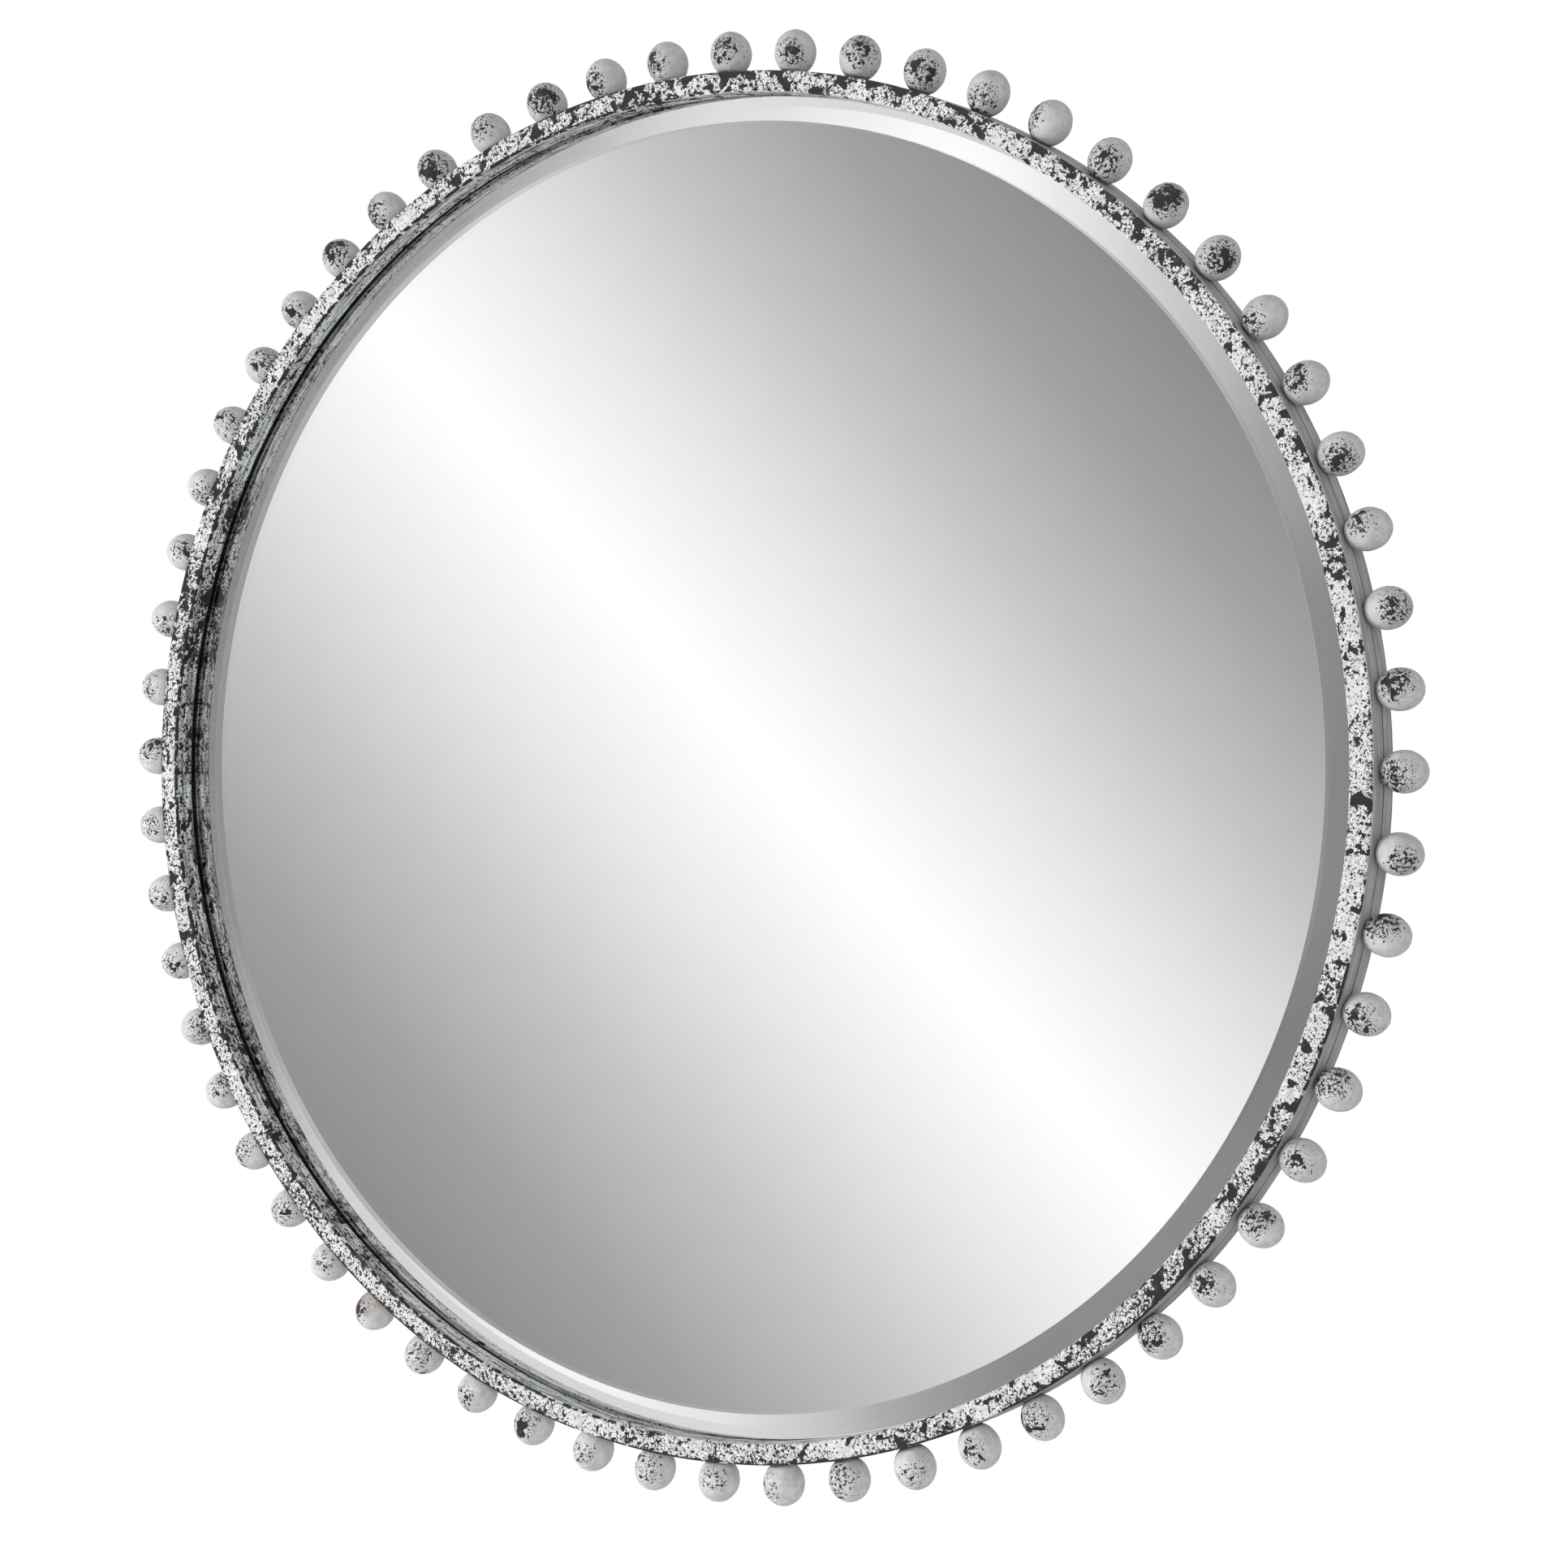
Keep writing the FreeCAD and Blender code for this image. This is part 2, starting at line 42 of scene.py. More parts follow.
# Sizes of the CAD part, in millimetres
RING_OUTER, RING_INNER = 382.5, 370.5
BAR_DEPTH, FLANGE_THICKNESS, LEG_DEPTH = 15.0, 2.0, 13.7
INNER_ROUND, OUTER_ROUND = 2.0, 1.5
GLASS_RADIUS, CREASE_RADIUS = 380.0, 353.0
GLASS_FRONT, GLASS_RIM, GLASS_BACK = -17.2, -14.4, -12.2
BEVEL_SLOPE = (GLASS_RIM - GLASS_FRONT) / (GLASS_RADIUS - CREASE_RADIUS)
LEG_INNER, FLANGE_INNER = 380.5, 372.0
TAPE_INNER, TAPE_THICKNESS = FLANGE_INNER + 0.5, 0.8
FLANGE_BACK = GLASS_FRONT + (TAPE_INNER - CREASE_RADIUS) * BEVEL_SLOPE - TAPE_THICKNESS
RING_BACK = FLANGE_BACK - FLANGE_THICKNESS
RING_FRONT = RING_BACK - BAR_DEPTH
LEG_BACK = RING_BACK + LEG_DEPTH
BEAD_RADIUS, BEAD_CENTRE, BEAD_SETBACK = 11.2, 395.2, 13.4
BEAD_PLANE = RING_FRONT + BEAD_SETBACK
WELD_TOE, WELD_NECK = 5.8, 5.0
HOURS, BEADS_PER_HOUR = 12, 5
BEAD_PITCH = 360.0 / HOURS / BEADS_PER_HOUR
ONCE_DRIFT, TWICE_DRIFT = -0.067, 0.035

# What the photograph shows otherwise than the CAD part, in millimetres: the bar wider at the right,
# the bevel's crease further out at the top and bottom and further in at the right, longer beads
BAR_SWELL, CREASE_RISE, CREASE_DIP = 1.6, 3.8, 2.4
BEAD_SHIFT, BEAD_OUTWARD, BEAD_INWARD, BEAD_DEEP = -1.3, 12.5, 13.0, 12.9


# Meshes

RING_SEGMENTS = 720
BAR_RIPPLES = ((0.16, 34.0, 0.0), (0.1, 9.0, 3.7))
SHARP_DEG = 35.0


def placed(name, data):
    """A new object in the scene."""
    obj = bpy.data.objects.new(name, data)
    bpy.context.scene.collection.objects.link(obj)
    return obj


def piece(name, verts, faces, material, node, sharp_deg=SHARP_DEG, patch=None):
    """A mesh in millimetres that rides on the mirror in place of a CAD node.

    Edges sharper than an angle stay sharp. The patch is a value for each vertex."""
    mesh = bpy.data.meshes.new(name)
    mesh.from_pydata([(x * MM, y * MM, z * MM) for x, y, z in verts], [], faces)
    mesh.validate()
    mesh.shade_smooth()
    mesh.set_sharp_from_angle(angle=math.radians(sharp_deg))
    if patch:
        mesh.attributes.new("patch", "FLOAT", "POINT").data.foreach_set("value", patch)
    mesh.materials.append(material)
    obj = placed(name, mesh)
    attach(obj, "mirror")
    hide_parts(node)


def add_mesh(verts, faces, more_verts, more_faces):
    """Adds one mesh's vertices and faces to another's."""
    base = len(verts)
    verts += more_verts
    faces += [tuple(base + i for i in face) for face in more_faces]


def grid_faces(rows, columns, close_rows=False):
    """Quads over a grid whose columns run right round. The rows can close too."""
    faces = []
    for row in range(rows if close_rows else rows - 1):
        below = (row + 1) % rows
        for column in range(columns):
            beside = (column + 1) % columns
            faces.append((row * columns + column, below * columns + column,
                          below * columns + beside, row * columns + beside))
    return faces


def turns(count):
    """The angles of one whole turn in even steps."""
    return [math.tau * i / count for i in range(count)]


def circle(radius, depth, count):
    """Points of a circle round the Y axis."""
    return [(radius * math.cos(turn), depth, radius * math.sin(turn)) for turn in turns(count)]


def corner(centre, radius, start_deg, end_deg, steps):
    """Points of a rounded corner of a profile, as (radius, depth)."""
    points = []
    for step in range(steps + 1):
        turn = math.radians(start_deg + (end_deg - start_deg) * step / steps)
        points.append((centre[0] + radius * math.cos(turn), centre[1] + radius * math.sin(turn)))
    return points


def run(start, end, steps):
    """Points along a straight run of a profile, without its two ends."""
    return [(start[0] + (end[0] - start[0]) * i / steps, start[1] + (end[1] - start[1]) * i / steps)
            for i in range(1, steps)]


def profile_normals(profile):
    """Outward normals of a closed profile whose points run so that the metal is on the left."""
    count = len(profile)
    normals = []
    for i in range(count):
        a, b = profile[i - 1], profile[(i + 1) % count]
        across, up = b[0] - a[0], b[1] - a[1]
        length = math.hypot(across, up) or 1.0
        normals.append((up / length, -across / length))
    return normals


def at_right(turn):
    """1 at the mirror's right, falling to 0 at its top and bottom."""
    return max(0.0, math.cos(turn)) ** 2


def unit(value):
    """A value held between 0 and 1."""
    return min(1.0, max(0.0, value))


def ripple(x, y, z, scale, seed=0.0):
    """Smooth noise from 0 to 1 at a point, with features about as long as scale."""
    place = Vector((x / scale + seed, y / scale - seed, z / scale + 2 * seed))
    return 0.5 + 0.5 * noise.noise(place)


def bar_sink(reach, depth, turn):
    """How far the hammered, hand-painted bar lies below its true surface."""
    x, z = reach * math.cos(turn), reach * math.sin(turn)
    return sum(deep * ripple(x, depth, z, scale, seed) for deep, scale, seed in BAR_RIPPLES)


def swept_ring(profile, swell):
    """Vertices of a profile turned round the mirror's axis, each sunk below the true surface.

    The swell is how much wider, inward, the bar was rolled on the right."""
    verts = []
    for (reach, depth), (out, away) in zip(profile, profile_normals(profile)):
        inward = swell * (RING_OUTER - reach) / (RING_OUTER - RING_INNER)
        for turn in turns(RING_SEGMENTS):
            drop = bar_sink(reach, depth, turn)
            radius = reach - out * drop - inward * at_right(turn)
            verts.append((radius * math.cos(turn), depth - away * drop, radius * math.sin(turn)))
    return verts


# Materials

def rgba(colour):
    """A colour for a socket, from another socket or from three numbers."""
    return colour if isinstance(colour, bpy.types.NodeSocket) else (*colour, 1.0)


class Nodes:
    """A short way to write a material's node tree. Each value is a socket or a number."""

    def __init__(self, name):
        self.material = bpy.data.materials.new(name)
        self.material.use_nodes = True
        self.tree = self.material.node_tree
        self.shader = self.tree.nodes["Principled BSDF"]
        self.place = self.new("ShaderNodeTexCoord").outputs["Object"]

    def new(self, kind, **settings):
        node = self.tree.nodes.new(kind)
        for key, value in settings.items():
            setattr(node, key, value)
        return node

    def feed(self, socket, value):
        if isinstance(value, bpy.types.NodeSocket):
            self.tree.links.new(value, socket)
        else:
            socket.default_value = value

    def math(self, operation, *values, clamp=False):
        node = self.new("ShaderNodeMath", operation=operation, use_clamp=clamp)
        for socket, value in zip(node.inputs, values):
            self.feed(socket, value)
        return node.outputs[0]

    def plus(self, a, b):
        return self.math("ADD", a, b)

    def minus(self, a, b):
        return self.math("SUBTRACT", a, b)

    def times(self, a, b, clamp=False):
        return self.math("MULTIPLY", a, b, clamp=clamp)

    def over(self, a, b):
        return self.math("DIVIDE", a, b)

    def linear(self, a, factor, offset):
        """A value times a factor, plus an offset."""
        return self.math("MULTIPLY_ADD", a, factor, offset)

    def size(self, a):
        return self.math("ABSOLUTE", a)

    def length(self, a, b):
        return self.math("SQRT", self.plus(self.times(a, a), self.times(b, b)))

    def larger(self, first, *others):
        for other in others:
            first = self.math("MAXIMUM", first, other)
        return first

    def along(self, across, up, turn_deg):
        """How far a place lies in a direction, by its turn counterclockwise from the right."""
        turn = math.radians(turn_deg)
        return self.linear(across, math.cos(turn), self.times(up, math.sin(turn)))

    def noise(self, scale, detail=3.0, roughness=0.55, place=None, distortion=0.0):
        node = self.new("ShaderNodeTexNoise")
        self.feed(node.inputs["Vector"], place or self.place)
        node.inputs["Scale"].default_value = scale
        node.inputs["Detail"].default_value = detail
        node.inputs["Roughness"].default_value = roughness
        node.inputs["Distortion"].default_value = distortion
        return node.outputs["Fac"]

    def step(self, value, low, high, to_low=0.0, to_high=1.0):
        """A smooth step from one level to another. It falls where low is above high."""
        node = self.new("ShaderNodeMapRange", interpolation_type="SMOOTHSTEP", clamp=True)
        for socket, number in zip(node.inputs, (value, low, high, to_low, to_high)):
            self.feed(socket, number)
        return node.outputs["Result"]

    def step_mm(self, value, low, high):
        """A smooth step from 0 to 1 between two places in millimetres."""
        return self.step(value, low * MM, high * MM)

    def band_mm(self, value, middle, half, soft):
        """1 within half of a middle, in millimetres, fading out over a soft edge."""
        return self.step_mm(self.size(self.minus(value, middle * MM)), half + soft, half)

    def ramp(self, value, stops):
        """A grey ramp through pairs of place and tone."""
        node = self.new("ShaderNodeValToRGB")
        self.feed(node.inputs["Fac"], value)
        elements = node.color_ramp.elements
        while len(elements) < len(stops):
            elements.new(0.5)
        for element, (place, tone) in zip(elements, stops):
            element.position = place
            element.color = (tone, tone, tone, 1.0)
        return node.outputs["Color"]

    def mix(self, share, a, b):
        node = self.new("ShaderNodeMix", data_type="RGBA")
        self.feed(node.inputs[0], share)
        self.feed(node.inputs[6], rgba(a))
        self.feed(node.inputs[7], rgba(b))
        return node.outputs[2]

    def axes(self):
        node = self.new("ShaderNodeSeparateXYZ")
        self.feed(node.inputs[0], self.place)
        return node.outputs

    def ring_places(self):
        """The distance from the mirror's axis, the depth, the place across and the height."""
        across, depth, up = self.axes()
        return self.length(across, up), depth, across, up

    def stretched(self, scale):
        node = self.new("ShaderNodeMapping")
        self.feed(node.inputs["Vector"], self.place)
        node.inputs["Scale"].default_value = scale
        return node.outputs["Vector"]

    def bump(self, height, strength, depth_mm):
        node = self.new("ShaderNodeBump")
        node.inputs["Strength"].default_value = strength
        node.inputs["Distance"].default_value = depth_mm * MM
        self.feed(node.inputs["Height"], height)
        self.feed(self.shader.inputs["Normal"], node.outputs["Normal"])

    def finish(self, colour, roughness, metallic=0.0):
        self.feed(self.shader.inputs["Base Color"], rgba(colour))
        self.feed(self.shader.inputs["Roughness"], roughness)
        self.feed(self.shader.inputs["Metallic"], metallic)
        return self.material


# Colours of the iron, the paint and its stains, the inner wall's painted light, the outer wall's
# and the beads' painted shade and the beads' painted contact shadow, and the place and size of the
# rust in millimetres
IRON_BLACK, IRON_DARK = (0.010, 0.010, 0.0105), (0.026, 0.025, 0.025)
IRON_FILM = (0.07, 0.068, 0.07)
RING_GREY, RING_WHITE, RING_STAIN = (0.50, 0.50, 0.495), (0.64, 0.64, 0.632), (0.36, 0.36, 0.355)
INNER_WALL_DARK, INNER_WALL_PALE_PAINTED_LIGHT = (0.20, 0.215, 0.21), (0.90, 0.93, 0.92)
OUTER_WALL_PAINTED_SHADE_DARK, OUTER_WALL_PAINTED_SHADE_PALE = (0.22, 0.216, 0.207), (0.385, 0.38, 0.367)
OUTER_WALL_PAINTED_SHADE_MOTTLE = (0.38, 0.375, 0.36)
BEAD_GREY, BEAD_WHITE, BEAD_STAIN = (0.52, 0.52, 0.515), (0.66, 0.66, 0.652), (0.38, 0.38, 0.375)
BEAD_PAINTED_SHADE, FOOT_PAINTED_SHADOW = (0.26, 0.26, 0.255), (0.06, 0.058, 0.056)
RUST_TRACE, RUST = (0.30, 0.20, 0.13), (0.25, 0.185, 0.15)
RUST_PLACE, RUST_RAGGED, RUST_EDGE, RUST_CORE = (-233.5, -311.0), 10.0, 17.5, 11.5

# How wear and coarseness move the limits over which the noise shows as bare iron
CLUSTERING, WEAR_GAIN, WEAR_LIMIT = 1.5, -0.2, 0.645
COARSE_BLOTCHES, COARSE_CHIPS = -0.025, 0.03
RING_CHIPS, BEAD_CHIPS = 1.35, 1.5
RING_GRAIN, BEAD_GRAIN, GRAIN_SHARE = 260.0, 240.0, 0.35
PAINT_SPECULAR, CHIP_BUMP, CHIP_DEPTH = 0.25, 0.55, 0.4

# The wear of the ring's face, and turns round it where there is more or less of it
FACE_WEAR, TOP_WEAR, RIM_WEAR, OUTER_WALL_WEAR = 0.59, 0.16, 0.12, -0.95
WORN_TURNS = ((105.0, 0.10), (135.0, -0.06), (165.0, 0.14), (315.0, 0.16))
WORN_FROM, WORN_FULL = 0.358, 0.372


def worn(n, wear, scale, coarse=0.0):
    """Where paint has come off: blotches, chips and specks in clusters.

    Wear and coarseness run from about 0 to 1."""
    blotches = n.noise(90.0 * scale, 5.0, 0.55, distortion=0.3)
    chips = n.noise(360.0 * scale, 2.0, 0.5, distortion=0.25)
    specks = n.noise(760.0 * scale, 1.5, 0.5)
    clusters = n.noise(24.0 * scale, 3.0, 0.6)
    local = n.plus(wear, n.linear(clusters, CLUSTERING, -0.5 * CLUSTERING))
    limit = n.linear(local, WEAR_GAIN, WEAR_LIMIT)
    blotch = n.step(n.minus(blotches, n.linear(coarse, COARSE_BLOTCHES, limit)), 0.066, 0.076)
    limit = n.linear(coarse, COARSE_CHIPS, limit)
    chip = n.step(n.minus(chips, limit), 0.040, 0.058)
    speck = n.step(n.minus(specks, limit), 0.045, 0.075)
    return n.larger(blotch, chip, n.times(speck, 0.9))


def bare_iron(n):
    """Charcoal iron, nearly black, with a thin grey film in places."""
    film = n.times(n.step(n.noise(95.0, 4.0), 0.55, 0.68), 0.55)
    return n.mix(film, n.mix(n.noise(420.0, 3.0), IRON_BLACK, IRON_DARK), IRON_FILM)


def paint_surface(n, paint, chips, grain):
    """Low-sheen paint with its chips cut down to the iron."""
    n.shader.inputs["Specular IOR Level"].default_value = PAINT_SPECULAR
    uneven = n.times(n.noise(grain, 4.0), GRAIN_SHARE)
    n.bump(n.linear(chips, -1.0, uneven), CHIP_BUMP, CHIP_DEPTH)
    return n.finish(n.mix(chips, paint, bare_iron(n)), n.linear(n.noise(90.0), 0.2, 0.5))


def rubbed(n, off, bare, gone, ragged, limit):
    """A ragged line, 1 where an edge has rubbed bare.

    Off is the way from the edge in metres. The line fades from bare to gone, in millimetres."""
    soft = n.step_mm(off, gone, bare)
    return n.step(n.linear(ragged, 1.5, n.minus(soft, limit)), 0.0, 0.07)


def outer_edge(n, ahead, reach, across, up, ragged, breaks):
    """The outer edge's bare line, broken, and spared at the left and the upper right.

    At the top and in the lower half a fine line goes on where it breaks."""
    off = n.plus(ahead, n.minus(RING_OUTER * MM, reach))
    spared = n.step(n.linear(across, -0.8, n.times(up, 0.35)), 0.12, 0.26)
    held = n.linear(spared, 0.22, n.step(breaks, 0.5, 0.42, 0.8, 1.3))
    diagonal = n.plus(across, up)
    for place, low, high, more in ((diagonal, 0.28, 0.38, 0.35), (diagonal, -0.25, -0.45, -0.12),
                                   (up, 0.33, 0.37, -0.2)):
        held = n.plus(held, n.step(place, low, high, 0.0, more))
    lower_left = n.times(n.step(across, -0.12, -0.22), n.step(up, -0.05, -0.15))
    held = n.linear(lower_left, -0.12, held)
    thin_places = n.larger(n.step(up, -0.10, -0.20), n.step(up, 0.33, 0.37))
    thin = rubbed(n, off, 0.95, 1.35, ragged, n.linear(thin_places, -0.45, held))
    return n.larger(rubbed(n, off, 1.25, 2.1, ragged, held), thin)


def ring_lines(n, reach, depth, across, up):
    """The broken dark lines where the bar's edges have rubbed bare, and a dark line along its seam.
    """
    ragged = n.minus(n.noise(240.0, 4.0, 0.6), 0.5)
    breaks = n.noise(33.0, 5.0, 0.65)
    ahead = n.minus(depth, RING_FRONT * MM)
    outer = outer_edge(n, ahead, reach, across, up, ragged, breaks)
    from_inner = n.plus(ahead, n.minus(reach, RING_INNER * MM))
    inner = rubbed(n, from_inner, 1.5, 2.8, ragged, n.step(across, 0.20, -0.16, 1.4, 0.88))
    wall = n.step_mm(reach, RING_OUTER - 2.0, RING_OUTER - 1.4)
    rear = n.band_mm(n.linear(ragged, 0.004, depth), LEG_BACK - 0.7, 0.5, 0.3)
    rear = n.times(rear, n.step(breaks, 0.40, 0.48))
    seam = n.times(n.band_mm(depth, RING_BACK, 0.4, 0.35), 0.85)
    return n.larger(outer, inner, n.times(wall, n.larger(rear, seam)))


def ring_walls(n, reach, depth, ragged):
    """1 on the bar's inner wall, and 1 on the outer walls of both rings."""
    inner = n.times(n.step_mm(reach, RING_OUTER - 3.0, RING_OUTER - 4.0),
                    n.step_mm(n.plus(depth, ragged), RING_FRONT + 0.7, RING_FRONT + 1.4))
    behind = n.times(n.step_mm(reach, RING_OUTER - 3.0, RING_OUTER - 2.5),
                     n.step_mm(depth, RING_FRONT + 3.0, RING_FRONT + 3.5))
    return inner, n.larger(n.step_mm(reach, RING_OUTER - 0.5, RING_OUTER - 0.25), behind)


def ring_chips(n, places, ragged, inner_wall, outer_wall):
    """Where the rings' iron is bare: chips, more of them in worn places, and the rubbed lines."""
    reach, depth, across, up = places
    top = n.times(n.step(up, 0.20, 0.30), n.step(across, -0.16, -0.06))
    coarse = n.larger(top, n.step(across, -0.10, 0.18, 0.0, 0.6))
    wear = n.linear(top, TOP_WEAR, FACE_WEAR)
    for turn_deg, more in WORN_TURNS:
        wear = n.plus(wear, n.step(n.along(across, up, turn_deg), WORN_FROM, WORN_FULL, 0.0, more))
    outer_rim = n.band_mm(n.plus(reach, ragged), RING_OUTER - 1.6, 0.4, 1.6)
    wear = n.linear(outer_rim, RIM_WEAR, wear)
    wear = n.linear(inner_wall, n.step(across, -0.15, -0.3, -0.28, -0.02), wear)
    wear = n.linear(outer_wall, OUTER_WALL_WEAR, wear)
    return n.larger(worn(n, wear, RING_CHIPS, coarse), ring_lines(n, *places))


def ring_paint():
    """Aged white over charcoal iron, chipped on the face, rubbed bare along its edges.

    The inner wall is cooler, and paler as painted light for the light the mirror throws on it; the
    outer wall is greyer as painted shade, and streaked by the brush."""
    n = Nodes("ring_paint")
    places = n.ring_places()
    ragged = n.linear(n.noise(260.0, 4.0), 0.0026, -0.0013)
    inner_wall, outer_wall = ring_walls(n, *places[:2], ragged)
    chips = ring_chips(n, places, ragged, inner_wall, outer_wall)
    paint = n.mix(n.step(n.noise(210.0, 4.0, 0.6), 0.36, 0.64), RING_GREY, RING_WHITE)
    stain = n.times(n.step(n.noise(75.0, 6.0, 0.7), 0.56, 0.68), 0.22)
    paint = n.mix(stain, paint, RING_STAIN)
    drawn = n.noise(420.0, 4.0, 0.6, place=n.stretched((0.1, 1.0, 0.1)))
    # Painted light: the inner wall's paint is paler than the face's, standing in for the light the
    # mirror throws on it; it is also cooler
    cool_painted_light = n.mix(n.step(drawn, 0.34, 0.62), INNER_WALL_DARK, INNER_WALL_PALE_PAINTED_LIGHT)
    # Painted shade: the outer wall's paint is a darker grey than the face, for the shade that side
    # is in, with real brush streaks
    streaks = n.noise(240.0, 5.0, 0.6, place=n.stretched((0.12, 1.0, 0.12)), distortion=0.4)
    brushed_painted_shade = n.mix(n.step(streaks, 0.3, 0.7), OUTER_WALL_PAINTED_SHADE_DARK, OUTER_WALL_PAINTED_SHADE_PALE)
    mottled = n.times(n.step(n.noise(150.0, 5.0, 0.65), 0.46, 0.68), 0.45)
    brushed_painted_shade = n.mix(mottled, brushed_painted_shade, OUTER_WALL_PAINTED_SHADE_MOTTLE)
    paint = n.mix(outer_wall, n.mix(inner_wall, paint, cool_painted_light), brushed_painted_shade)
    return paint_surface(n, paint, chips, RING_GRAIN)


def rust_spot(n, across, up):
    """1 on the one rusty bead, with a ragged edge."""
    away = n.length(n.minus(across, RUST_PLACE[0] * MM), n.minus(up, RUST_PLACE[1] * MM))
    away = n.linear(n.noise(170.0, 4.0, 0.6), RUST_RAGGED * MM, away)
    return n.step_mm(away, RUST_EDGE, RUST_CORE)


def bead_paint():
    """The same paint on the beads, greyer, darker towards the upper right as painted shade, each
    chipped in a patch of its own, and with a painted shadow at its foot where it meets the ring.
    """
    n = Nodes("bead_paint")
    reach, _, across, up = n.ring_places()
    patch = n.new("ShaderNodeAttribute", attribute_name="patch").outputs["Fac"]
    wear = n.linear(patch, 0.95, n.step(n.plus(across, up), -0.35, 0.2, -0.40, -0.18))
    rusty = rust_spot(n, across, up)
    chips = worn(n, n.linear(rusty, 0.62, wear), BEAD_CHIPS)
    paint = n.mix(n.step(n.noise(210.0, 4.0, 0.6), 0.34, 0.66), BEAD_GREY, BEAD_WHITE)
    stain = n.times(n.step(n.noise(110.0, 4.0), 0.54, 0.7), 0.2)
    paint = n.mix(stain, paint, BEAD_STAIN)
    # Painted shade: the beads are darker towards the upper right and lighter to the left and
    # bottom, where more light falls
    bead_painted_shade_share = n.step(n.linear(across, 0.6, up), -0.35, 0.42, 0.16, 0.4)
    paint = n.mix(bead_painted_shade_share, paint, BEAD_PAINTED_SHADE)
    traces = n.times(n.step(n.noise(9.0, 3.0), 0.64, 0.72),
                     n.step(n.noise(170.0, 5.0, 0.7), 0.5, 0.62))
    paint = n.mix(n.times(traces, 0.4), paint, RUST_TRACE)
    rust = n.times(rusty, n.step(n.noise(230.0, 5.0, 0.7), 0.36, 0.66, 0.2, 0.8))
    paint = n.mix(rust, paint, RUST)
    # Painted shadow: each bead is darkened at its foot, where it meets the ring's wall
    foot = n.step_mm(reach, RING_OUTER + 2.4, RING_OUTER + 0.4)
    painted_contact_shadow = n.times(foot, n.step(n.noise(150.0, 3.0), 0.2, 0.6, 0.4, 0.9))
    paint = n.mix(painted_contact_shadow, paint, FOOT_PAINTED_SHADOW)
    return paint_surface(n, paint, chips, BEAD_GRAIN)


GLASS_IOR = 1.52
GLASS_TONES = (0.975, 0.978, 0.976), (0.985, 0.986, 0.985)
SILVER_TONES = (0.90, 0.902, 0.882), (0.93, 0.932, 0.912)
# Painted reflection in the silver's colour: the crease strip's grey, the lean of the bevel's
# painted highlight, the turn of its painted shade and the bevel's tones
PAINTED_CREASE_REFLECTION = (0.68, 0.68, 0.68)
PAINTED_GLINT_LEAN_DEG, PAINTED_SHADE_TURN_DEG = 67.5, -45.0
PAINTED_BEVEL_REFLECTION = ((0.0, 0.26), (0.13, 0.27), (0.38, 0.30), (0.61, 0.365), (0.79, 0.57), (0.92, 0.93),
               (1.0, 0.95))
FRAME_IMAGE_SHIFT, FRAME_IMAGE_INSET, FRAME_IMAGE_SOFT = 9.1, 0.2, 0.3
CREASE_STRIP, CREASE_STRIP_TURN, CREASE_SOFT = 0.5, -1.75, 0.05


def pane_glass():
    """Clear float glass."""
    n = Nodes("pane_glass")
    n.shader.inputs["Transmission Weight"].default_value = 1.0
    n.shader.inputs["IOR"].default_value = GLASS_IOR
    n.bump(n.noise(3.0, 1.0), 0.02, 0.2)
    return n.finish(n.mix(n.noise(6.0, 2.0), *GLASS_TONES), n.times(n.noise(40.0, 2.0), 0.004))


def silver_with_painted_reflection():
    """The silver, with painted reflection behind the bevel as the bevel shows it: painted
    highlights and painted shade in its colour, up to the frame's image in it.

    A thin strip along the crease has a painted reflection tone of its own. The lower right, which
    the card lights more, is painted darker as painted shade."""
    n = Nodes("silver_with_painted_reflection")
    reach, _, across, up = n.ring_places()
    side, rise = n.over(across, reach), n.over(up, reach)
    # Painted reflection: the bevel's highlights and shade are painted into the silver's colour by
    # their turn round the mirror
    lean = n.over(n.along(across, up, PAINTED_GLINT_LEAN_DEG), reach)
    # Painted shade: the lower right, which the card lights more, is painted darker, and its strip's
    # painted highlight is less bright
    card_painted_shade_share = n.step(n.along(side, rise, PAINTED_SHADE_TURN_DEG), 0.80, 0.97)
    shade = n.times(n.ramp(n.size(lean), PAINTED_BEVEL_REFLECTION), n.linear(card_painted_shade_share, -0.24, 1.0))
    painted_highlight = n.times(shade, n.linear(card_painted_shade_share, -0.45, 1.4), clamp=True)
    left, right = n.math("MINIMUM", side, 0.0), n.larger(side, 0.0)
    rim = n.linear(left, FRAME_IMAGE_SHIFT * MM, (RING_INNER - FRAME_IMAGE_INSET) * MM)
    inside = n.step_mm(n.minus(reach, rim), 0.0, -FRAME_IMAGE_SOFT)
    crease = n.linear(n.times(rise, rise), CREASE_RISE * MM, CREASE_RADIUS * MM)
    crease = n.linear(n.times(right, right), -CREASE_DIP * MM, crease)
    past = n.minus(reach, crease)
    passed = n.size(n.linear(side, CREASE_STRIP_TURN * MM, CREASE_STRIP * MM))
    bevel = n.times(n.step_mm(n.minus(past, passed), -CREASE_SOFT, CREASE_SOFT), inside)
    strip = n.times(n.step_mm(n.plus(past, passed), -CREASE_SOFT, CREASE_SOFT), inside)
    # The crease strip's painted reflection: a fixed grey at the top and bottom, a painted highlight
    # at the sides
    sides = n.larger(n.step(side, 0.27, 0.30), n.step(side, -0.4, -0.6))
    tone = n.mix(n.noise(5.0, 3.0), *SILVER_TONES)
    tone = n.mix(strip, tone, n.mix(sides, PAINTED_CREASE_REFLECTION, painted_highlight))
    return n.finish(n.mix(bevel, tone, shade), n.times(n.noise(30.0, 2.0), 0.006), 1.0)


